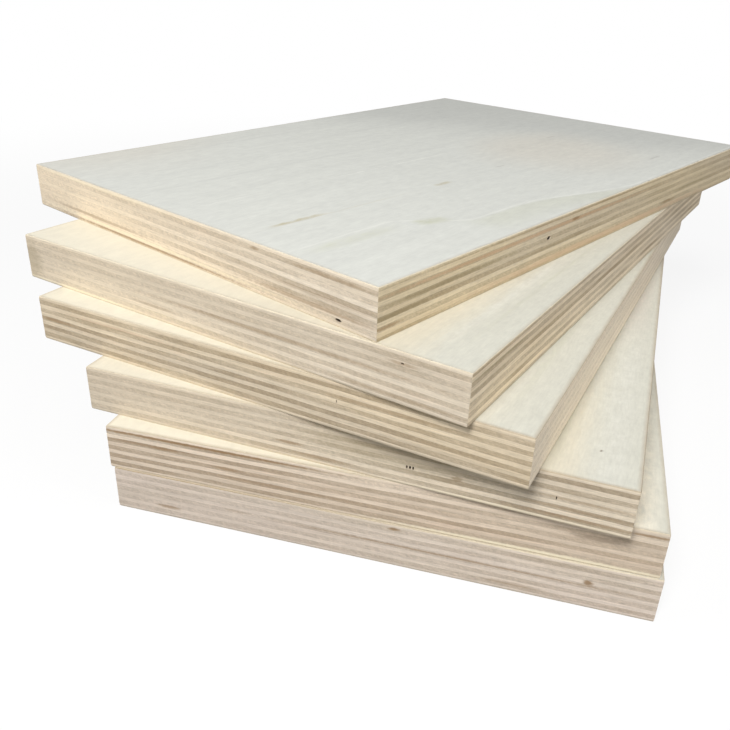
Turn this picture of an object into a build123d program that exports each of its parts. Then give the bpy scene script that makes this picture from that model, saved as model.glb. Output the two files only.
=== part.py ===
# A fanned stack of six plywood sheets, cut to one size and laid flat on each other.
# Each sheet is a lay-up of thirteen veneers: eleven core plies whose grain crosses from ply to ply,
# and a thin face veneer on each side. Every veneer is a solid of its own.
# Frame: +Z up, the floor at z = 0. The origin is the centre of the lowest sheet's underside,
# +X runs along that sheet's short side and +Y along its long side. Sizes are in millimetres.
from build123d import *
import os

# The sheet, sawn to size
sheet_width = 200.0
sheet_length = 300.0

# The veneers, from the face inwards
face_veneer = 0.35
outer_ply = 1.0
core_ply = 1.7
core_ply_count = 9

# How each sheet lies, from the lowest to the top one: its turn in degrees, anticlockwise from above,
# and how far its centre has slid from the lowest sheet's centre along X and Y
turn_degrees = [0.0, 0.0, -4.5, -12.0, -17.2, -26.0]
slide_x = [0.0, -1.6, -2.0, -13.4, -17.9, -21.8]
slide_y = [0.0, 0.4, 1.5, 2.1, 6.9, 22.6]

# Grain directions, named as the veneer groups of a sheet are
FACE = "face_veneers"
CROSS = "cross_plies"
LONG = "long_plies"


def lay_up():
    """The veneers of one sheet from its underside up, as (group, thickness).

    The outer plies run across the sheet, under faces whose grain runs along it,
    and the core plies between them alternate.
    """
    core_groups = [LONG if n % 2 == 0 else CROSS for n in range(core_ply_count)]
    core = [(group, core_ply) for group in core_groups]
    return [(FACE, face_veneer), (CROSS, outer_ply), *core, (CROSS, outer_ply), (FACE, face_veneer)]


def veneer(underside, thickness):
    """One veneer: the sawn outline of the sheet, as thick as it was peeled."""
    outline = Rectangle(sheet_width, sheet_length)
    return Pos(0, 0, underside) * extrude(outline, amount=thickness)


def sheet():
    """One sheet at the origin, lying on z = 0, as a list of veneers for each group."""
    groups = {FACE: [], CROSS: [], LONG: []}
    underside = 0.0
    for group, thickness in lay_up():
        groups[group].append(veneer(underside, thickness))
        underside += thickness
    return groups


def place(sheet_number, height):
    """Where a sheet lies in the fan: its slide and height, then its turn about its own centre."""
    slide = Pos(slide_x[sheet_number], slide_y[sheet_number], height)
    return slide * Rot(0, 0, turn_degrees[sheet_number])


os.makedirs("parts", exist_ok=True)
sheet_thickness = sum(thickness for _, thickness in lay_up())
for sheet_number in range(len(turn_degrees)):
    location = place(sheet_number, sheet_number * sheet_thickness)
    for group, veneers in sheet().items():
        node = Compound(children=[location * piece for piece in veneers])
        export_step(node, f"parts/sheet_{sheet_number + 1}_{group}.step")
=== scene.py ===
"""A fanned stack of six plywood sheets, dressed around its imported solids."""

import math

import bmesh
import bpy
from mathutils import Matrix, Vector


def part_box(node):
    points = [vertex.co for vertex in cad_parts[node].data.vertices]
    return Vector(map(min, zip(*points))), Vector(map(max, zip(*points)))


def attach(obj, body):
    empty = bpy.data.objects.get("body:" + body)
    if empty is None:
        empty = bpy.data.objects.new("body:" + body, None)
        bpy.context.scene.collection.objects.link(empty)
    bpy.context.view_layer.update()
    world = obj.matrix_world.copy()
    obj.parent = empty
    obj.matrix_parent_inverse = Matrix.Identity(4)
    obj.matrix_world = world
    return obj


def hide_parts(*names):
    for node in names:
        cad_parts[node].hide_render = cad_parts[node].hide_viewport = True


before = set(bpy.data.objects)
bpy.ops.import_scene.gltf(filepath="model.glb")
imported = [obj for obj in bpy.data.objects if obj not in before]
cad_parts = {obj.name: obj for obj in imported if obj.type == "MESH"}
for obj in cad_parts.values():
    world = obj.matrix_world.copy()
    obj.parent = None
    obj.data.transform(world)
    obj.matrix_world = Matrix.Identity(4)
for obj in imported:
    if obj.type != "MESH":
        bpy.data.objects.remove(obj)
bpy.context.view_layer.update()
mm = 0.001

# ---------------------------------------------------------------- camera
# The stack is seen from in front of its lowest sheet and a little to the right, from above,
# and near enough that the top sheet's right corner is just out of view.
# Place, tilt and lens come from the edges of the sheets as the picture shows them.
camera_place = Vector((54.25, -362.46, 193.2)) * mm
camera_heading = math.radians(14.98)
camera_pitch = math.radians(27.483)
camera_roll = math.radians(2.04)
sensor_width = 36.0
picture_width = 730.0
focal_length = 783.78
near_clip = 0.01

ahead = Vector((-math.sin(camera_heading), math.cos(camera_heading), 0.0))
level = Vector((math.cos(camera_heading), math.sin(camera_heading), 0.0))
forward = ahead * math.cos(camera_pitch) - Vector((0.0, 0.0, math.sin(camera_pitch)))
upward = ahead * math.sin(camera_pitch) + Vector((0.0, 0.0, math.cos(camera_pitch)))
view_right = level * math.cos(camera_roll) + upward * math.sin(camera_roll)
view_up = upward * math.cos(camera_roll) - level * math.sin(camera_roll)
camera_data = bpy.data.cameras.new("Camera")
camera_data.sensor_fit = "HORIZONTAL"
camera_data.sensor_width = sensor_width
camera_data.lens = sensor_width * focal_length / picture_width
camera_data.clip_start = near_clip
camera = bpy.data.objects.new("Camera", camera_data)
camera_axes = Matrix((view_right, view_up, -forward)).transposed().to_4x4()
camera.matrix_world = Matrix.Translation(camera_place) @ camera_axes
bpy.context.scene.collection.objects.link(camera)
bpy.context.scene.camera = camera
bpy.context.scene.view_settings.view_transform = "Standard"


# ---------------------------------------------------------------- lay-up of a sheet
# Each sheet is a stack of thirteen veneers, glued with the grain of every other one turned
# and sawn to size in one cut, so all their edges are flush. The peeled veneers differ a
# little in thickness along their length, and the glue lines wander with them.
sheet_size = Vector((200.0, 300.0)) * mm
sheet_thickness = 18.0 * mm
face_veneer = 0.35 * mm
outer_ply = 1.0 * mm
core_ply = 1.7 * mm
core_plies = 9
arris_radius = 0.4 * mm
edge_steps = 800
core_rows, face_rows = 4, 2
glue_line_wander = 0.4 * mm
wander_margin = 2.0 * mm
wanders_a_metre = 38.0
wander_squeeze = 6.0
glue_groove = 0.02 * mm
groove_start = 0.55
saw_ripple = 0.03 * mm
ripples_a_metre = 420.0
eased_edge = 0.22 * mm
eased_height = 0.6 * mm
smooth_bend = math.radians(30.0)


class Wire:
    """The value an output socket carries. Python's operators on it add Math nodes."""

    def __init__(self, tree, socket):
        self.tree = tree
        self.socket = socket

    def math(self, operation, *values):
        values = dict(enumerate((self, *values)))
        return self.tree.node("ShaderNodeMath", {"operation": operation}, values)

    def vector(self, operation, *values, output=0):
        values = dict(enumerate((self, *values)))
        if operation == "SCALE":
            values = {0: self, "Scale": values[1]}
        return self.tree.node("ShaderNodeVectorMath", {"operation": operation}, values, output)

    def part(self, axis):
        return self.tree.node("ShaderNodeSeparateXYZ", {}, {0: self}, axis)

    def __add__(self, other):
        return self.math("ADD", other)

    def __radd__(self, other):
        return self.math("ADD", other)

    def __sub__(self, other):
        return self.math("SUBTRACT", other)

    def __rsub__(self, other):
        return self.math("MULTIPLY", -1.0).math("ADD", other)

    def __mul__(self, other):
        return self.math("MULTIPLY", other)

    def __rmul__(self, other):
        return self.math("MULTIPLY", other)

    def __truediv__(self, other):
        return self.math("DIVIDE", other)

    def __abs__(self):
        return self.math("ABSOLUTE")

    def fract(self):
        return self.math("FRACT")

    def floor(self):
        return self.math("FLOOR")

    def limit(self, low, high):
        return self.math("MAXIMUM", low).math("MINIMUM", high)

    def ease(self, start, end):
        """0 at start and 1 at end, with a soft step between them."""
        settings = {"interpolation_type": "SMOOTHSTEP"}
        return self.tree.node("ShaderNodeMapRange", settings, {0: self, 1: start, 2: end})


class Tree:
    """A node tree that is written as expressions on wires."""

    def __init__(self, node_tree):
        self.node_tree = node_tree

    def node(self, kind, settings=None, sockets=None, output=0):
        """Adds a node: its settings first, then what its sockets hold or are linked to."""
        node = self.node_tree.nodes.new(kind)
        for name, value in (settings or {}).items():
            setattr(node, name, value)
        for name, value in (sockets or {}).items():
            if isinstance(value, Wire):
                self.node_tree.links.new(value.socket, node.inputs[name])
            else:
                node.inputs[name].default_value = value
        return Wire(self, node.outputs[output]) if node.outputs else None

    def join(self, x=0.0, y=0.0, z=0.0):
        return self.node("ShaderNodeCombineXYZ", {}, {0: x, 1: y, 2: z})


def sheet_frame(number):
    """Where a packed sheet lies: the turn and place of its own frame, whose origin is the
    centre of its underside and whose +Y runs along its grain."""
    name = f"sheet_{number}_face_veneers"
    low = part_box(name)[0].z
    level = low + face_veneer / 2
    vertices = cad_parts[name].data.vertices
    corners = {(round(v.co.x, 6), round(v.co.y, 6)) for v in vertices if v.co.z < level}
    corners = [Vector(corner) for corner in sorted(corners)]
    near, *others = corners
    others.sort(key=lambda corner: (corner - near).length)
    along = (others[1] - near).normalized()
    if along.y < 0:
        along = -along
    centre = sum(corners, Vector((0.0, 0.0))) / 4
    turn = Matrix.Rotation(math.atan2(-along.x, along.y), 4, "Z")
    return Matrix.Translation((*centre, low)) @ turn


def lay_up():
    """The thirteen veneers from the underside up: group, underside and thickness."""
    core = ["long_plies" if n % 2 == 0 else "cross_plies" for n in range(core_plies)]
    veneers = [("face_veneers", face_veneer), ("cross_plies", outer_ply)]
    veneers += [(group, core_ply) for group in core]
    veneers += [("cross_plies", outer_ply), ("face_veneers", face_veneer)]
    height = 0.0
    for group, thickness in veneers:
        yield group, height, thickness
        height += thickness


def sawn_veneer_tree():
    """Geometry Nodes: a veneer on each input point, sawn to the sheet's outline."""
    group = bpy.data.node_groups.new("sawn_veneers", "GeometryNodeTree")
    sockets = {
        "Underside points": "NodeSocketGeometry",
        "Width": "NodeSocketFloat",
        "Length": "NodeSocketFloat",
        "Sheet thickness": "NodeSocketFloat",
        "Arris radius": "NodeSocketFloat",
        "Edge steps": "NodeSocketInt",
        "Edge rows": "NodeSocketInt",
        "Glue line wander": "NodeSocketFloat",
        "Wander margin": "NodeSocketFloat",
        "Wanders a metre": "NodeSocketFloat",
        "Wander squeeze": "NodeSocketFloat",
        "Glue groove": "NodeSocketFloat",
        "Groove start": "NodeSocketFloat",
        "Saw ripple": "NodeSocketFloat",
        "Ripples a metre": "NodeSocketFloat",
        "Eased edge": "NodeSocketFloat",
        "Eased height": "NodeSocketFloat",
        "Smooth bend": "NodeSocketFloat",
        "Seed": "NodeSocketFloat",
        "Finish": "NodeSocketMaterial",
    }
    for name, kind in sockets.items():
        group.interface.new_socket(name, in_out="INPUT", socket_type=kind)
    group.interface.new_socket("Veneers", in_out="OUTPUT", socket_type="NodeSocketGeometry")
    tree = Tree(group)
    given = group.nodes.new("NodeGroupInput")
    given = {name: Wire(tree, given.outputs[name]) for name in sockets}
    width, length = given["Width"], given["Length"]

    # One blank, a metre square in section: a ring of points whose way round becomes the way
    # round the rectangle, from its near left corner.
    settings = {"fill_type": "NGON"}
    rounds = {
        "Vertices": given["Edge steps"],
        "Side Segments": given["Edge rows"],
        "Radius": 1.0,
        "Depth": 1.0,
    }
    blank = tree.node("GeometryNodeMeshCylinder", settings, rounds)
    place = tree.node("GeometryNodeInputPosition")
    share = (place.part(1).math("ARCTAN2", place.part(0)) / math.tau).fract()
    walk = share * (width + length) * 2.0
    out, back = walk, walk - (width + length)
    x = out.limit(0.0, width) - back.limit(0.0, width) - width / 2.0
    y = (walk - width).limit(0.0, length) - (back - width).limit(0.0, length) - length / 2.0
    rise = place.part(2) + 0.5
    settings = {"data_type": "FLOAT", "domain": "POINT"}
    sockets = {"Geometry": blank, "Name": "height_in_ply", "Value": rise}
    blank = tree.node("GeometryNodeStoreNamedAttribute", settings, sockets)
    sockets = {"Geometry": blank, "Position": tree.join(x, y, rise)}
    blank = tree.node("GeometryNodeSetPosition", {}, sockets)

    # A copy on each point, as thick as that veneer.
    thickness = tree.node("GeometryNodeInputNamedAttribute", {}, {"Name": "thickness"})
    sockets = {
        "Points": given["Underside points"],
        "Instance": blank,
        "Scale": tree.join(1.0, 1.0, thickness),
    }
    veneers = tree.node("GeometryNodeInstanceOnPoints", {}, sockets)
    veneers = tree.node("GeometryNodeRealizeInstances", {}, {"Geometry": veneers})

    # The outline, eased at its corners, with the ripple of the saw and a fine groove at the
    # glue, all of it inwards from the sawn size.
    place = tree.node("GeometryNodeInputPosition")
    x, y, z = (place.part(axis) for axis in range(3))
    radius = given["Arris radius"]
    inner_x = x.limit(radius - width / 2.0, width / 2.0 - radius)
    inner_y = y.limit(radius - length / 2.0, length / 2.0 - radius)
    reach = tree.join(x - inner_x, y - inner_y, 0.0)
    outward = reach.vector("NORMALIZE")
    rise = tree.node("GeometryNodeInputNamedAttribute", {}, {"Name": "height_in_ply"})
    at_glue = abs(rise * 2.0 - 1.0).ease(given["Groove start"], 1.0)
    settings = {"noise_dimensions": "4D"}
    sockets = {"Vector": place, "W": given["Seed"], "Detail": 2.0}
    sockets |= {"Scale": given["Ripples a metre"]}
    ripple = tree.node("ShaderNodeTexNoise", settings, sockets)
    to_face = z.math("MINIMUM", given["Sheet thickness"] - z)
    at_face = 1.0 - to_face.ease(0.0, given["Eased height"])
    inward = ripple.ease(0.25, 0.75) * given["Saw ripple"] + at_glue * given["Glue groove"]
    inward = inward + at_face * given["Eased edge"]
    stand = reach.vector("LENGTH", output=1).math("MINIMUM", radius) - inward

    # The glue lines wander together, because the noise is read where two veneers meet.
    squeezed = place.vector("MULTIPLY", tree.join(1.0, 1.0, given["Wander squeeze"]))
    sockets = {"Vector": squeezed, "W": given["Seed"], "Detail": 3.0}
    sockets |= {"Scale": given["Wanders a metre"]}
    drift = tree.node("ShaderNodeTexNoise", settings, sockets) * 2.0 - 1.0
    drift = drift * given["Glue line wander"] * to_face.ease(0.0, given["Wander margin"])
    flat = outward.vector("SCALE", stand).vector("ADD", tree.join(inner_x, inner_y, z))
    sockets = {"Geometry": veneers, "Position": flat.vector("ADD", tree.join(0.0, 0.0, drift))}
    veneers = tree.node("GeometryNodeSetPosition", {}, sockets)

    steep = 1.0 - abs(tree.node("GeometryNodeInputNormal").part(2))
    sockets = {"Geometry": veneers, "Shade Smooth": steep.math("GREATER_THAN", 0.5)}
    veneers = tree.node("GeometryNodeSetShadeSmooth", {"domain": "FACE"}, sockets)
    bend = tree.node("GeometryNodeInputMeshEdgeAngle")
    smooth = bend.math("LESS_THAN", given["Smooth bend"])
    sockets = {"Geometry": veneers, "Shade Smooth": smooth}
    veneers = tree.node("GeometryNodeSetShadeSmooth", {"domain": "EDGE"}, sockets)
    veneers = tree.node("GeometryNodeRealizeInstances", {}, {"Geometry": veneers})
    sockets = {"Geometry": veneers, "Material": given["Finish"]}
    veneers = tree.node("GeometryNodeSetMaterial", {}, sockets)
    result = group.nodes.new("NodeGroupOutput")
    group.links.new(veneers.socket, result.inputs[0])
    return group


veneer_tree = sawn_veneer_tree()


def settle(piece, finish):
    """Applies a piece's modifiers to its mesh, and gives all its faces the one finish."""
    before = piece.data
    evaluated = piece.evaluated_get(bpy.context.evaluated_depsgraph_get())
    mesh = bpy.data.meshes.new_from_object(evaluated)
    piece.modifiers.clear()
    piece.data = mesh
    bpy.data.meshes.remove(before)
    mesh.name = piece.name
    mesh.materials.clear()
    mesh.materials.append(finish)
    mesh.polygons.foreach_set("material_index", [0] * len(mesh.polygons))


def saw_veneers(number, group, finish):
    """The veneers of one group in one sheet, as a plain mesh in place of their solids."""
    name = f"sheet_{number}_{group}_sawn"
    rows = [(underside, thick) for kind, underside, thick in lay_up() if kind == group]
    points = bpy.data.meshes.new(name)
    points.from_pydata([(0.0, 0.0, underside) for underside, _ in rows], [], [])
    attribute = points.attributes.new("thickness", "FLOAT", "POINT")
    attribute.data.foreach_set("value", [thick for _, thick in rows])
    veneers = bpy.data.objects.new(name, points)
    bpy.context.scene.collection.objects.link(veneers)
    modifier = veneers.modifiers.new("Sawn veneers", "NODES")
    modifier.node_group = veneer_tree
    values = {
        "Width": sheet_size.x,
        "Length": sheet_size.y,
        "Sheet thickness": sheet_thickness,
        "Arris radius": arris_radius,
        "Edge steps": edge_steps,
        "Edge rows": face_rows if group == "face_veneers" else core_rows,
        "Glue line wander": glue_line_wander,
        "Wander margin": wander_margin,
        "Wanders a metre": wanders_a_metre,
        "Wander squeeze": wander_squeeze,
        "Glue groove": glue_groove,
        "Groove start": groove_start,
        "Saw ripple": saw_ripple,
        "Ripples a metre": ripples_a_metre,
        "Eased edge": eased_edge,
        "Eased height": eased_height,
        "Smooth bend": smooth_bend,
        "Seed": float(number),
        "Finish": finish,
    }
    for socket in veneer_tree.interface.items_tree:
        if socket.in_out == "INPUT" and socket.name in values:
            modifier[socket.identifier] = values[socket.name]
    settle(veneers, finish)
    veneers.data.transform(sheet_frame(number))
    return veneers


# ---------------------------------------------------------------- core plies
# The core is peeled from a light plantation wood. A ply that meets an edge side-on shows pale
# long grain there, and the ply above it darker, speckled end grain. How strongly the two
# differ, and how pink or yellow they are, changes from sheet to sheet and along each edge.
pale_wood = (246, 233, 213)
dark_wood = (192, 176, 153)
peach = (255, 250, 238)
straw = (255, 251, 234)
mauve = (248, 247, 255)
olive = (253, 250, 238)
grey = (250, 252, 253)
heart_brown = (150, 120, 84)
shadow_grey_brown = (134, 114, 94)
glue_brown = (142, 120, 94)
salmon = (204, 168, 134)
rosy = (255, 240, 234)
cream_ply = (252, 240, 210)
olive_dark = (146, 132, 98)
split_brown = (58, 42, 28)
short_edge, long_edge = "short_edge", "long_edge"

# Places within a sheet and lengths of the grain are in millimetres from here on.
half_sheet = sheet_size / mm / 2
ply_pitch = 2 * core_ply / mm
cross_ply_shift = 0.35
core_relief = 0.06 * mm
wood_gloss = 0.25
stain_raggedness = 0.4
glue_stain = 0.12

# How strongly each kind of grain, and the glue, shades the wood of an edge.
streak_shade, streak_shade_at_ends = 0.23, 0.17
pore_shade, check_shade = 0.26, 0.14
saw_shade, fuzz_shade, drawn_shade = 0.05, 0.2, 0.22
slow_shade, glue_shade = 0.12, 0.1

# Shade, contrast of the plies and strength of the tint, each at the left and the right end of
# the edge, and the tint, for the short and the long edges of each sheet.
edge_looks = {
    6: ((1.12, 0.98, 0.08, 0.44, 0.35, 0.10, peach), (0.89, 0.87, 0.42, 0.32, 0.90, 0.90, straw)),
    5: ((0.97, 0.92, 0.12, 0.36, 0.20, 0.10, straw), (0.93, 0.97, 0.55, 0.50, 0.80, 0.60, peach)),
    4: ((0.84, 0.82, 0.55, 0.75, 0.80, 0.80, peach), (1.25, 1.23, 0.10, 0.14, 0.90, 0.90, grey)),
    3: ((0.86, 0.86, 0.22, 0.80, 0.20, 0.35, peach), (0.98, 0.98, 0.40, 0.40, 0.30, 0.30, grey)),
    2: ((0.81, 0.90, 0.75, 0.34, 0.25, 0.25, rosy), (0.95, 0.95, 0.60, 0.40, 0.30, 0.30, olive)),
    1: ((0.93, 1.02, 0.24, 0.36, 0.90, 0.80, mauve), (0.95, 0.95, 0.50, 0.50, 0.30, 0.30, peach)),
}

# Knots, stains and stretches of a ply that are darker or paler, and two marks of painted shadow on
# sheets 3 and 2: edge, place along it from its middle, height, half width and half height in
# millimetres, how strong, and the colour.
edge_stains = {
    6: [
        (short_edge, -20.0, 2.3, 84.0, 0.9, 0.5, cream_ply),
        (short_edge, -50.0, 17.2, 60.0, 0.9, 0.4, cream_ply),
        (short_edge, 80.0, 15.6, 20.0, 0.8, 0.4, heart_brown),
        (short_edge, -52.0, 4.2, 46.0, 0.8, 0.5, heart_brown),
        (short_edge, -20.0, 1.0, 80.0, 0.6, 0.75, heart_brown),
        (short_edge, 70.0, 4.2, 40.0, 0.9, 0.55, heart_brown),
        (short_edge, 70.0, 7.9, 36.0, 0.7, 0.25, heart_brown),
        (short_edge, 45.0, 16.1, 3.0, 0.7, 0.5, heart_brown),
        (long_edge, -60.0, 14.2, 110.0, 0.9, 0.65, salmon),
        (long_edge, 0.0, 2.0, 130.0, 1.6, 0.5, salmon),
        (long_edge, -31.0, 14.4, 3.4, 0.7, 0.75, heart_brown),
        (long_edge, 62.0, 4.0, 9.0, 0.9, 0.55, heart_brown),
        (long_edge, -146.0, 4.0, 9.0, 0.8, 0.6, heart_brown),
        (long_edge, -110.0, 10.7, 44.0, 1.0, 0.55, olive_dark),
        (long_edge, -142.0, 7.2, 26.0, 1.0, 0.6, olive_dark),
        (long_edge, -20.0, 16.9, 120.0, 0.5, 0.35, heart_brown),
        (long_edge, 90.0, 7.6, 26.0, 0.8, 0.35, olive_dark),
        (long_edge, -40.0, 7.0, 40.0, 0.7, 0.3, olive_dark),
    ],
    5: [
        (short_edge, -70.0, 0.8, 40.0, 0.8, 0.6, cream_ply),
        (short_edge, 77.0, 14.0, 6.0, 0.8, 0.45, heart_brown),
        (short_edge, -97.0, 8.0, 6.0, 9.0, 0.35, olive_dark),
        (short_edge, 30.0, 9.3, 74.0, 0.9, 0.4, heart_brown),
        (short_edge, 74.0, 2.3, 30.0, 0.8, 0.3, heart_brown),
        (short_edge, -28.0, 5.2, 14.0, 0.7, 0.3, heart_brown),
        (long_edge, -25.0, 11.0, 18.0, 0.8, 0.3, heart_brown),
        (long_edge, 40.0, 4.2, 22.0, 0.8, 0.35, heart_brown),
        (long_edge, -128.0, 14.6, 24.0, 0.9, 0.3, olive_dark),
    ],
    4: [
        (short_edge, -92.0, 9.4, 11.0, 0.9, 0.5, heart_brown),
        (short_edge, 52.0, 12.6, 30.0, 0.8, 0.3, heart_brown),
        (short_edge, -60.0, 13.6, 30.0, 0.7, 0.3, salmon),
    ],
    3: [
        (short_edge, -16.0, 6.0, 6.0, 0.8, 0.6, heart_brown),
        (short_edge, 44.0, 7.2, 2.2, 1.1, 0.55, heart_brown),
        (short_edge, -4.0, 2.7, 12.0, 0.9, 0.4, heart_brown),
        (short_edge, 85.0, 9.3, 20.0, 0.6, 0.35, heart_brown),
        (short_edge, 84.0, 2.6, 22.0, 0.8, 0.4, heart_brown),
        (short_edge, 82.0, 5.8, 20.0, 0.6, 0.3, heart_brown),
        (short_edge, 60.0, 0.8, 50.0, 0.6, 0.5, cream_ply),
        # Painted shadow: a broad darker patch under the overhanging corner of sheet 4.
        (short_edge, 26.0, 11.0, 44.0, 8.0, 0.34, olive_dark),
    ],
    2: [
        (short_edge, 62.0, 0.9, 66.0, 0.9, 0.9, cream_ply),
        (short_edge, -76.0, 12.6, 6.0, 0.7, 0.5, heart_brown),
        (short_edge, -52.0, 9.4, 7.0, 0.9, 0.55, heart_brown),
        # Painted shadow: a small dark grey-brown blotch.
        (short_edge, 79.0, 10.9, 12.0, 1.2, 0.55, shadow_grey_brown),
        (short_edge, -66.0, 16.4, 66.0, 0.7, 0.85, heart_brown),
        (short_edge, -84.0, 12.9, 22.0, 0.7, 0.4, heart_brown),
        (short_edge, -30.0, 5.9, 30.0, 0.7, 0.3, heart_brown),
        (short_edge, 95.0, 16.1, 8.0, 0.6, 0.7, heart_brown),
    ],
    1: [
        (short_edge, 10.0, 16.2, 2.6, 0.8, 0.8, heart_brown),
        (short_edge, 77.0, 10.7, 2.0, 1.3, 0.85, heart_brown),
        (short_edge, -78.0, 4.6, 6.0, 0.9, 0.6, heart_brown),
        (short_edge, 34.0, 9.2, 70.0, 0.5, 0.5, heart_brown),
        (short_edge, 52.0, 3.2, 12.0, 1.0, 0.35, heart_brown),
        (short_edge, -50.0, 9.3, 6.0, 0.7, 0.3, heart_brown),
    ],
}

# Splits, knots and a core gap that are open to the edge: edge, place along it, height, half
# width, half height and depth in millimetres.
open_splits = {
    6: [
        (short_edge, 84.0, 2.35, 1.6, 0.6, 2.5),
        (long_edge, -51.0, 10.7, 1.5, 0.83, 6.0),
    ],
    3: [
        (short_edge, 26.9, 7.3, 0.36, 0.85, 1.8),
        (short_edge, 28.0, 7.3, 0.38, 0.83, 1.8),
        (short_edge, 29.1, 7.3, 0.36, 0.8, 1.8),
        (short_edge, 76.0, 8.9, 0.24, 0.85, 1.4),
    ],
    4: [
        (short_edge, 34.0, 10.7, 0.18, 0.75, 1.2),
    ],
    5: [
        (short_edge, 77.0, 14.1, 0.8, 0.35, 1.5),
    ],
}

# Each cut starts a little outside the edge and narrows inwards: how far it has gone, as a
# share of its depth, and what share of its width is left there. All have one ragged outline.
split_overshoot = 0.6
split_taper = ((-0.4, 0.9), (-1.0, 0.45))
split_outline = (
    (1.0, 0.1), (0.6, 0.75), (0.05, 1.0), (-0.55, 0.8),
    (-1.0, -0.05), (-0.7, -0.7), (0.1, -1.0), (0.65, -0.65),
)


def tone(colour):
    """A colour given as it looks on screen, as the linear value that a shader takes."""
    shares = [part / 255.0 for part in colour]
    return (*(((s + 0.055) / 1.055) ** 2.4 for s in shares), 1.0)


def blend(tree, share, first, second):
    """Mixes two colours."""
    sockets = {0: share, 6: first, 7: second}
    return tree.node("ShaderNodeMix", {"data_type": "RGBA"}, sockets, 2)


def noise(tree, *axes, detail=2.0, roughness=0.5):
    """Noise about nought, from -1 to 1. An axis is a place with the length over which the
    noise changes along it, or a seed."""
    place = [axis[0] / axis[1] if isinstance(axis, tuple) else axis for axis in axes]
    sockets = {"Vector": tree.join(*place), "Scale": 1.0}
    sockets |= {"Detail": detail, "Roughness": roughness}
    return tree.node("ShaderNodeTexNoise", {}, sockets) * 2.0 - 1.0


def within_edge(x, y):
    """How far a point lies inside the nearest edge of its sheet."""
    return (half_sheet.x - abs(x)).math("MINIMUM", half_sheet.y - abs(y))


def place_in_sheet(tree, number):
    """The place on the surface in the sheet's own frame, and how far the surface faces
    along the sheet's own X."""
    lie = sheet_frame(number)
    at = tree.node("ShaderNodeTexCoord", output="Object")
    turn = lie.to_euler().z
    sockets = {"Vector": at, "Location": lie.translation}
    sockets |= {"Rotation": (0.0, 0.0, turn), "Scale": (mm, mm, mm)}
    here = tree.node("ShaderNodeMapping", {"vector_type": "TEXTURE"}, sockets)
    facing = tree.node("ShaderNodeTexCoord", output="Normal")
    across = (math.cos(turn), math.sin(turn), 0.0)
    return here, abs(facing.vector("DOT_PRODUCT", across, output=1))


def wood_surface(tree, colour, roughness, height, depth):
    """The lit surface of bare sanded or sawn wood, with its grain as a fine relief."""
    sockets = {"Height": height, "Distance": depth, "Strength": 1.0}
    relief = tree.node("ShaderNodeBump", {}, sockets)
    sockets = {"Base Color": colour, "Roughness": roughness, "Normal": relief}
    sockets |= {"Specular IOR Level": wood_gloss}
    wood = tree.node("ShaderNodeBsdfPrincipled", {}, sockets)
    tree.node("ShaderNodeOutputMaterial", {}, {"Surface": wood})


def new_finish(name):
    """An empty material and its tree."""
    material = bpy.data.materials.new(name)
    material.use_nodes = True
    material.node_tree.nodes.clear()
    return material, Tree(material.node_tree)


def from_middle(tree, place, middle, half_size):
    """How far a point is from the middle of an oval: 1 on its rim."""
    offsets = [(at - mid) / half for at, mid, half in zip(place, middle, half_size)]
    return tree.join(*offsets).vector("LENGTH", output=1)


def stain(tree, here, on_long, run, mark, ragged):
    """How much a knot or stain covers a point of the edge."""
    edge, along, height, half_width, half_height, strength, _ = mark
    x, y, z = (here.part(axis) for axis in range(3))
    if edge == long_edge:
        seen = on_long * x.math("GREATER_THAN", 0.0)
    else:
        seen = (1.0 - on_long) * y.math("LESS_THAN", 0.0)
    reach = from_middle(tree, (run, z), (along, height), (half_width, half_height))
    return (1.0 - (reach + ragged * stain_raggedness).ease(0.35, 1.15)) * seen * strength


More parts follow.
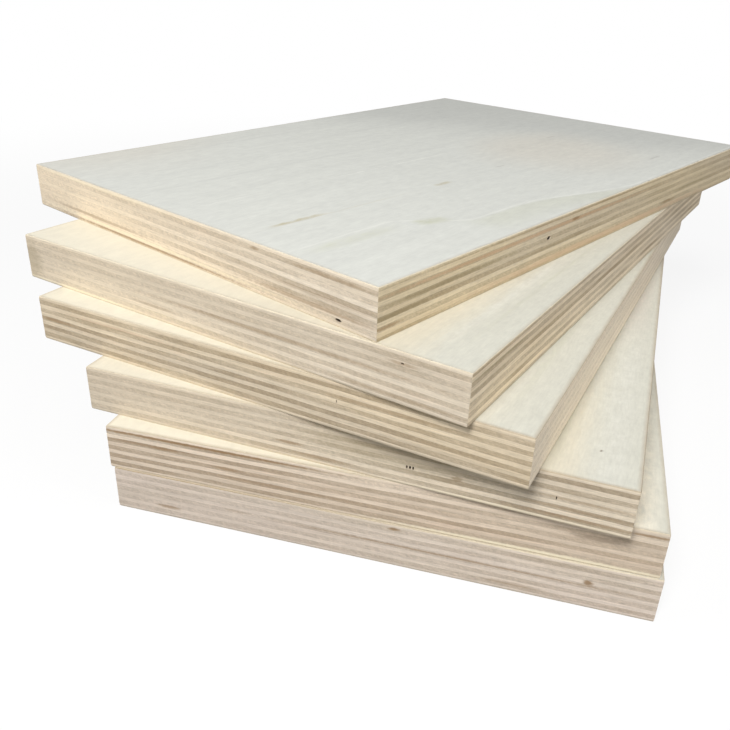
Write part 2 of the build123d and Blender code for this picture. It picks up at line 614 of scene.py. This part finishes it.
def core_finish(number, group):
    """Long grain or end grain, by the edge on which a ply of this group is seen."""
    material, tree = new_finish(f"sheet_{number}_{group}_wood")
    here, facing = place_in_sheet(tree, number)
    x, y, z = (here.part(axis) for axis in range(3))
    on_long = facing.ease(0.55, 0.85)
    crosses = group == "cross_plies"
    end_grain = on_long if crosses else 1.0 - on_long
    run = x + (y - x) * on_long
    ply = (z / ply_pitch + (cross_ply_shift if crosses else 0.0)).floor()
    side = on_long * 17.0 + number * 5.3

    # Chance differences from ply to ply, and slow ones along each ply.
    lot = tree.node("ShaderNodeTexWhiteNoise", {}, {"Vector": tree.join(ply, side.floor())})
    slow = noise(tree, (run, 44.0), ply * 7.3, side)
    slower = noise(tree, (run, 95.0), (z, 14.0), side + 40.0, detail=1.0)
    patch = noise(tree, (run, 11.0), (z, 1.5), side + 9.0, detail=3.0, roughness=0.6)

    # Grain: long fibres whose section is fine, so that the end of a ply shows as specks, the
    # slanting checks of the peeler's knife, and the fuzz, drawn fibres and lines of the saw.
    along, across = (x, y) if crosses else (y, x)
    streak = noise(tree, (along, 26.0), (across, 1.1), (z, 0.75), detail=4.0, roughness=0.65)
    pores = noise(tree, (along, 5.0), (across, 2.0), (z, 0.4), detail=3.0, roughness=0.65)
    checks = noise(tree, (along, 9.0), (across + z * 0.9, 1.3), (z, 3.2))
    fuzz = noise(tree, (run, 2.6), (z, 0.6), side, detail=3.0, roughness=0.7)
    drawn = noise(tree, (run, 13.0), (z, 0.5), side + 3.0, detail=3.0, roughness=0.6)
    ragged = noise(tree, (x, 1.6), (y, 1.6), (z, 0.9), detail=3.0)
    saw = noise(tree, (run, 0.5), (z, 16.0), side, detail=3.0, roughness=0.7)

    shorts, longs = edge_looks[number]
    half_edge = half_sheet.x + (half_sheet.y - half_sheet.x) * on_long
    way = (run / half_edge).ease(-0.9, 0.9)

    def by_edge(column):
        return shorts[column] + (longs[column] - shorts[column]) * on_long

    def by_way(column):
        left, right = by_edge(column), by_edge(column + 1)
        return left + (right - left) * way

    # How dark a ply is, then the tint of the edge, and a blush here and there.
    contrast = by_way(2)
    lively = (contrast * 1.6 + 0.1).limit(0.1, 1.0)
    chance = (lot - 0.5) * 0.35 + slow * 0.4 + patch * 0.3
    darkness = 0.5 + (end_grain - 0.5) * contrast * (1.0 + slow * 1.1) + chance * lively
    colour = blend(tree, darkness.limit(-0.1, 1.4), tone(pale_wood), tone(dark_wood))
    tint = blend(tree, on_long, tone(shorts[6]), tone(longs[6]))
    tinting = (by_way(4) * (1.0 + slower * 0.8)).limit(0.0, 1.0)
    colour = blend(tree, tinting, colour, colour.vector("MULTIPLY", tint))
    blush = (slow * 0.5 - patch * 0.5).ease(0.05, 0.5) * lively * 0.35
    colour = blend(tree, blush, colour, colour.vector("MULTIPLY", tone(rosy)[:3]))

    rise = tree.node("ShaderNodeAttribute", {"attribute_name": "height_in_ply"}, output="Fac")
    at_glue = abs(rise * 2.0 - 1.0).ease(0.84, 1.0)
    speck = (pores * pore_shade + checks * check_shade) * end_grain
    streaky = streak_shade + (streak_shade_at_ends - streak_shade) * end_grain
    value = 1.0 + streak * streaky + speck + saw * saw_shade + fuzz * fuzz_shade
    value = value + drawn * lively * drawn_shade + slower * slow_shade
    value = value - at_glue * lively * glue_shade
    colour = colour.vector("SCALE", by_way(0) * value)
    for mark in edge_stains[number]:
        share = stain(tree, here, on_long, run, mark, ragged)
        colour = blend(tree, share, colour, tone(mark[6]))
    colour = blend(tree, at_glue * glue_stain, colour, tone(glue_brown))

    # The walls of a split lie behind the sawn edge and are painted near black: partly darker glue
    # and wood, partly painted shade inside the split.
    split_glue_and_shade = within_edge(x, y).ease(0.16, 0.7) * 0.9
    colour = blend(tree, split_glue_and_shade, colour, tone(split_brown))
    roughness = 0.72 + streak * 0.06 + end_grain * 0.08
    height = streak * 0.6 + speck * 3.0 + saw * 0.35 + fuzz * 0.5
    wood_surface(tree, colour, roughness, height, core_relief)
    return material


def split_cutter(lie, split):
    """A closed form that is as deep as a split and narrows inwards."""
    edge, along, height, half_width, half_height, depth = split
    if edge == short_edge:
        outward, aside = Vector((0.0, -1.0, 0.0)), Vector((1.0, 0.0, 0.0))
        middle = Vector((along, -half_sheet.y, height))
    else:
        outward, aside = Vector((1.0, 0.0, 0.0)), Vector((0.0, 1.0, 0.0))
        middle = Vector((half_sheet.x, along, height))
    aside, rise = aside * half_width, Vector((0.0, 0.0, half_height))
    stations = [(split_overshoot, 1.0)]
    stations += [(share * depth, size) for share, size in split_taper]
    points = []
    for reach, size in stations:
        centre = middle + outward * reach
        for a, b in split_outline:
            points.append(lie @ ((centre + (aside * a + rise * b) * size) * mm))
    count, last = len(split_outline), len(stations) - 1
    faces = [tuple(range(count)), tuple(range(last * count, (last + 1) * count))]
    for ring in range(last):
        for n in range(count):
            start, end = ring * count + n, ring * count + (n + 1) % count
            faces.append((start, end, end + count, start + count))
    mesh = bpy.data.meshes.new("split_cutter")
    mesh.from_pydata(points, [], faces)
    shell = bmesh.new()
    shell.from_mesh(mesh)
    bmesh.ops.recalc_face_normals(shell, faces=shell.faces)
    shell.to_mesh(mesh)
    shell.free()
    cutter = bpy.data.objects.new("split_cutter", mesh)
    bpy.context.scene.collection.objects.link(cutter)
    return cutter


def open_up(plies, number, group):
    """Cuts the splits that lie in this group's plies out of their mesh."""
    for split in open_splits.get(number, []):
        height = split[2] * mm
        if group not in (kind for kind, low, thick in lay_up() if low <= height < low + thick):
            continue
        cutter = split_cutter(sheet_frame(number), split)
        modifier = plies.modifiers.new("Split", "BOOLEAN")
        modifier.operation = "DIFFERENCE"
        modifier.solver = "EXACT"
        modifier.object = cutter
        settle(plies, plies.data.materials[0])
        bpy.data.meshes.remove(cutter.data)


for number in edge_looks:
    for group, slot in (("cross_plies", "cross_ply"), ("long_plies", "long_ply")):
        plies = saw_veneers(number, group, core_finish(number, group))
        open_up(plies, number, group)
        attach(plies, "root")
        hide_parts(f"sheet_{number}_{group}")


# ---------------------------------------------------------------- face veneers
# The faces are thin peeled veneers of a pale, cool wood, sanded smooth, with their grain along
# the sheet. The top one is greyish white with a greyer far end, which is painted shade, and
# those below it are creamier towards their left, which is painted warm light.
top_white = (221, 222, 215)
top_grey = (206, 207, 201)
top_beige = (221, 215, 202)
warm_lit_cream = (238, 232, 214)
painted_light_cream = (250, 243, 225)
pale_green = (218, 218, 207)
warm_beige = (224, 218, 200)
figure_olive = (200, 201, 178)
pale_line = (238, 238, 231)
rosy_grey = (222, 209, 200)
pith_brown = (178, 162, 112)
knot_brown = (104, 84, 60)
veneer_edge_pale = (244, 233, 208)
veneer_edge_dark = (176, 157, 130)
top_sheet = 6
mid_height = sheet_thickness / mm / 2
face_relief = 0.04 * mm

# How pale the sawn edge of the upper face is, at the left and at the right of each sheet. A darker
# rim is painted shadow under the edge of the sheet above, as at the left of sheet 1.
rim_paleness = {
    6: (0.9, 1.0),
    5: (1.0, 1.0),
    4: (0.7, 0.35),
    3: (0.7, 0.35),
    2: (0.5, 0.7),
    1: (0.0, 0.9),
}

# On the top face: the middle and the half size of its warm patches, where the outline of its
# figure starts, and from where to where along it and how far the outline bends out.
warm_patch = ((40.0, 62.0), (46.0, 52.0))
corner_patch = ((-100.0, -110.0), (46.0, 70.0))
figure_start = 60.0
figure_bends = ((-102.0, -70.0, 20.0), (-48.0, 30.0, 18.0))

# Lines and small marks of the grain, and broad pale strips of painted light on sheets 3 and 2: x
# and y of one end and of the other, half width, colour and strength, on the upper face.
face_marks = {
    6: [
        (-1.5, -150.0, 1.5, -101.0, 0.6, pale_line, 0.5),
        (1.5, -101.0, 7.0, 30.0, 0.6, pale_line, 0.7),
        (36.0, -139.0, 37.6, -106.0, 1.7, pith_brown, 0.75),
        (36.8, -150.0, 40.5, -52.0, 0.8, pith_brown, 0.16),
        (40.4, -46.0, 40.8, -33.0, 2.0, pith_brown, 0.6),
        (81.0, 77.0, 81.0, 92.0, 1.1, knot_brown, 0.3),
        (19.0, 82.0, 19.5, 94.0, 1.0, knot_brown, 0.2),
        (39.0, 2.0, 39.6, 12.0, 0.9, knot_brown, 0.22),
        (23.5, -89.5, 29.0, -86.0, 0.5, pale_line, 0.8),
        (68.0, -95.0, 73.0, -77.0, 5.0, figure_olive, 0.8),
        (64.0, -150.0, 66.0, -96.0, 5.0, figure_olive, 0.4),
        (-62.0, -30.0, -58.0, 90.0, 1.4, top_grey, 0.35),
        (-30.0, -150.0, -26.0, 20.0, 1.8, top_grey, 0.35),
        (-82.0, -120.0, -80.0, 30.0, 2.0, top_grey, 0.3),
    ],
    5: [
        (74.0, -150.0, 80.0, 20.0, 1.6, warm_beige, 0.5),
        (90.0, -150.0, 91.0, 40.0, 1.2, figure_olive, 0.25),
        (84.0, -150.0, 86.0, -20.0, 3.0, pale_line, 0.3),
        (-60.0, -136.0, 10.0, -140.0, 2.0, warm_beige, 0.3),
    ],
    4: [
        (88.0, -150.0, 90.0, 0.0, 2.4, figure_olive, 0.25),
        (80.0, -150.0, 84.0, 0.0, 3.0, warm_beige, 0.4),
        (66.0, -140.0, 72.0, 60.0, 8.0, rosy_grey, 0.5),
        (74.0, -110.0, 96.0, 180.0, 12.0, rosy_grey, 0.6),
    ],
    3: [
        # Painted light: a broad pale strip that lifts the shade along the edge of sheet 4 above.
        (50.0, -240.0, 96.0, 110.0, 8.0, painted_light_cream, 0.8),
        (72.0, -160.0, 76.0, 0.0, 4.0, figure_olive, 0.5),
        (89.0, -220.0, 92.0, 0.0, 9.0, pale_line, 0.25),
        (78.0, -110.0, 82.0, 40.0, 4.0, top_grey, 0.5),
        (86.0, -60.0, 92.0, 200.0, 14.0, rosy_grey, 0.6),
        (77.0, -150.0, 80.0, -30.0, 1.6, pith_brown, 0.1),
        (86.4, -132.4, 86.9, -130.6, 0.8, knot_brown, 0.6),
    ],
    2: [
        (88.0, -150.0, 92.0, 30.0, 2.0, figure_olive, 0.3),
        # Painted light: a broad pale strip that lifts the shade along the edge of sheet 3 above.
        (88.0, -240.0, 92.0, 120.0, 11.0, painted_light_cream, 0.9),
    ],
    1: [],
}


def grain_line(x, y, mark):
    """How much a line or mark of the grain covers a point of the face."""
    x0, y0, x1, y1, half_width, _, strength = mark
    run = (y - (y0 + y1) / 2) / (abs(y1 - y0) / 2)
    off = abs(x - (x0 + x1) / 2 - run * ((x1 - x0) / 2 * math.copysign(1.0, y1 - y0))) / half_width
    return (1.0 - off.ease(0.0, 1.0)) * (1.0 - abs(run).ease(0.3, 1.0)) * strength


def face_finish(number):
    """A sanded face, with faint straight grain and a slow change of tone."""
    material, tree = new_finish(f"sheet_{number}_face_wood")
    here, _ = place_in_sheet(tree, number)
    x, y, z = (here.part(axis) for axis in range(3))
    upper = z.math("GREATER_THAN", mid_height)
    seed = number * 11.7 + upper * 5.0

    # Grain of three widths along lines that sway a little, and what lies across it.
    lined = x + noise(tree, (y, 120.0), (x, 90.0), seed, detail=1.0) * 5.0
    fine = noise(tree, (lined, 0.8), (y, 5.0), seed, detail=3.0, roughness=0.6)
    mid = noise(tree, (lined, 2.4), (y, 15.0), seed + 1.0, detail=3.0, roughness=0.6)
    broad = noise(tree, (lined, 7.0), (y, 130.0), seed + 3.0, detail=3.0, roughness=0.55)
    cloud = noise(tree, (x, 60.0), (y, 110.0), seed + 7.0)
    mottle = noise(tree, (x, 3.5), (y, 5.5), seed + 17.0, detail=4.0, roughness=0.65)
    specks = noise(tree, (lined, 0.9), (y, 5.0), seed + 13.0)

    if number == top_sheet:
        # Warm patches at the right and at the near left corner, and a greyer far end, which is
        # painted shade where the light falls off.
        middle = from_middle(tree, (x, y), *warm_patch) + cloud * 0.4
        corner = from_middle(tree, (x, y), *corner_patch) + cloud * 0.5
        warm = (1.0 - middle.ease(0.2, 1.2)) * 0.6 + (1.0 - corner.ease(0.1, 1.2)) * 0.45
        # Painted shade: the far end is greyer, as if less light reached it.
        back = ((y - 66.0) / 60.0 - x / 150.0 + cloud * 0.5).ease(-0.5, 0.8)
        colour = blend(tree, back * upper, tone(top_white), tone(top_grey))
        colour = blend(tree, warm.limit(0.0, 0.8) * upper, colour, tone(top_beige))

        # The pale outline of a broad figure, which is olive on its right.
        bend = figure_start
        for start, end, outwards in figure_bends:
            bend = bend + y.ease(start, end) * outwards
        off = x - bend - mid * 0.8
        line = (1.0 - abs(off).ease(0.1, 1.1)) * upper * (0.7 + mid)
        inside = off.ease(0.0, 2.5) * (1.0 - off.ease(4.0, 22.0)) * upper
        inside = inside * y.ease(-84.0, -66.0) * (1.0 - y.ease(0.0, 26.0))
        colour = blend(tree, inside * 0.35, colour, tone(figure_olive))
        colour = blend(tree, line * 0.5, colour, tone(pale_line))
        value = 1.0 + fine * 0.07 + mid * 0.05 + broad * 0.07
    else:
        # Lighter and cream at the left, which is painted warm light, and greenish at the right,
        # where the grain is fine and curled.
        way = (x + cloud * 26.0).ease(-60.0, 74.0)
        colour = blend(tree, way, tone(warm_lit_cream), tone(warm_beige))
        side = (x + mid * 5.0).ease(74.0, 88.0)
        colour = blend(tree, side * 0.8, colour, tone(pale_green))
        curl = noise(tree, (lined, 2.2), (y, 1.3), seed + 27.0, detail=3.0, roughness=0.6)
        value = 1.0 + fine * (x.ease(30.0, 80.0) * 0.08 + 0.03) + mid * 0.03 + broad * 0.042
        value = value + curl * x.ease(66.0, 84.0) * 0.045
    for mark in face_marks[number]:
        share = grain_line(x + mottle, y, mark) * upper * (0.85 + mottle * 1.4)
        colour = blend(tree, share.limit(0.0, 1.0), colour, tone(mark[5]))
    colour = blend(tree, specks.ease(0.5, 0.8) * 0.3, colour, tone(pith_brown))
    colour = colour.vector("SCALE", value + cloud * 0.02 + mottle * 0.09)

    # The thin edge of the veneer itself: pale above, and darker underneath.
    level = abs(tree.node("ShaderNodeTexCoord", output="Normal").part(2))
    worn = noise(tree, (x, 6.0), (y, 6.0), seed + 21.0) * 0.5 + 0.5
    # Where the rim is made less pale, it paints the shadow under the sheet above.
    left, right = rim_paleness[number]
    pale = left + (right - left) * x.ease(-70.0, 70.0)
    pale_rim = upper * (0.4 + worn) * pale + (1.0 - upper) * 0.5
    rim = blend(tree, pale_rim, tone(veneer_edge_dark), tone(veneer_edge_pale))
    colour = blend(tree, 1.0 - level.ease(0.3, 0.8), colour, rim)

    # The arris is worn and a little dirty, and darker still where its rim is dark, which is
    # painted shadow under the sheet above.
    wear_and_painted_shade = (1.0 - within_edge(x, y).ease(-0.3, 2.0)) * level
    wear_and_painted_shade = wear_and_painted_shade * (0.1 + worn * 0.5 + (1.0 - pale) * 0.4)
    colour = blend(tree, wear_and_painted_shade, colour, tone(veneer_edge_dark))
    height = fine * 0.6 + mid * 0.5 + broad * 0.3
    wood_surface(tree, colour, 0.6 + broad * 0.05, height, face_relief)
    return material


for number in edge_looks:
    faces = saw_veneers(number, "face_veneers", face_finish(number))
    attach(faces, "root")
    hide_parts(f"sheet_{number}_face_veneers")


# ---------------------------------------------------------------- studio
# A white table without an edge, in a dim white room with four soft lamps: the strongest in
# front, near enough that the far end of the stack is darker, a wide one overhead, and a weak
# low one on each side for the edges.
table_reach = 3.0
table_drop = 0.02 * mm
table_white = 1.0
table_bounce = 0.35
table_glow = 0.86
fade_start, fade_end = 0.28, 0.8
room_level = 0.15
room_white = (1.0, 1.0, 1.0, 1.0)
stack_middle = (0.0, 0.0, 0.05)
left_corner = (-0.1, -0.1, 0.08)
lamps = (
    # name, place and aim in metres, size, power
    ("Key lamp", (-0.1, -0.85, 0.87), stack_middle, 0.4, 10.5),
    ("Overhead lamp", (0.0, 0.1, 1.6), stack_middle, 1.5, 3.2),
    ("Left lamp", (-0.75, -0.55, 0.25), left_corner, 0.4, 1.2),
    ("Side lamp", (1.0, -0.3, 0.35), stack_middle, 0.5, 3.1),
)

table_mesh = bpy.data.meshes.new("Table")
corners = [(-1, -1), (1, -1), (1, 1), (-1, 1)]
points = [(table_reach * a, table_reach * b, -table_drop) for a, b in corners]
table_mesh.from_pydata(points, [], [(0, 1, 2, 3)])
table = bpy.data.objects.new("Table", table_mesh)
bpy.context.scene.collection.objects.link(table)
table_finish, tree = new_finish("table_white")
at = tree.node("ShaderNodeTexCoord", output="Object")
away = at.vector("LENGTH", output=1).ease(fade_start, fade_end)
# The eye sees a table lit up nearly to white, and the stack gets less light back from it.
rays = tree.node("ShaderNodeLightPath", output="Is Camera Ray")
level = rays * (table_white - table_bounce) + table_bounce
matt = tree.node("ShaderNodeBsdfDiffuse", {}, {"Color": tree.join(level, level, level)})
glow = tree.node("ShaderNodeEmission", {}, {"Color": room_white, "Strength": 1.0})
share = (away + table_glow * (1.0 - away)) * rays
surface = tree.node("ShaderNodeMixShader", {}, {0: share, 1: matt, 2: glow})
tree.node("ShaderNodeOutputMaterial", {}, {"Surface": surface})
table_mesh.materials.append(table_finish)

world = bpy.data.worlds.new("Studio")
world.use_nodes = True
world.node_tree.nodes.clear()
tree = Tree(world.node_tree)
seen = ("Is Camera Ray", "Is Glossy Ray", "Is Transmission Ray")
straight, glossy, through = (tree.node("ShaderNodeLightPath", output=ray) for ray in seen)
direct = straight.math("MAXIMUM", glossy).math("MAXIMUM", through)
strength = room_level + (1.0 - room_level) * direct
room = tree.node("ShaderNodeBackground", {}, {"Color": room_white, "Strength": strength})
tree.node("ShaderNodeOutputWorld", {}, {"Surface": room})
bpy.context.scene.world = world

for name, place, aim, size, power in lamps:
    data = bpy.data.lights.new(name, "AREA")
    data.shape = "DISK"
    data.size = size
    data.energy = power
    lamp = bpy.data.objects.new(name, data)
    lamp.location = place
    lamp.rotation_euler = (Vector(aim) - Vector(place)).to_track_quat("-Z", "Y").to_euler()
    bpy.context.scene.collection.objects.link(lamp)
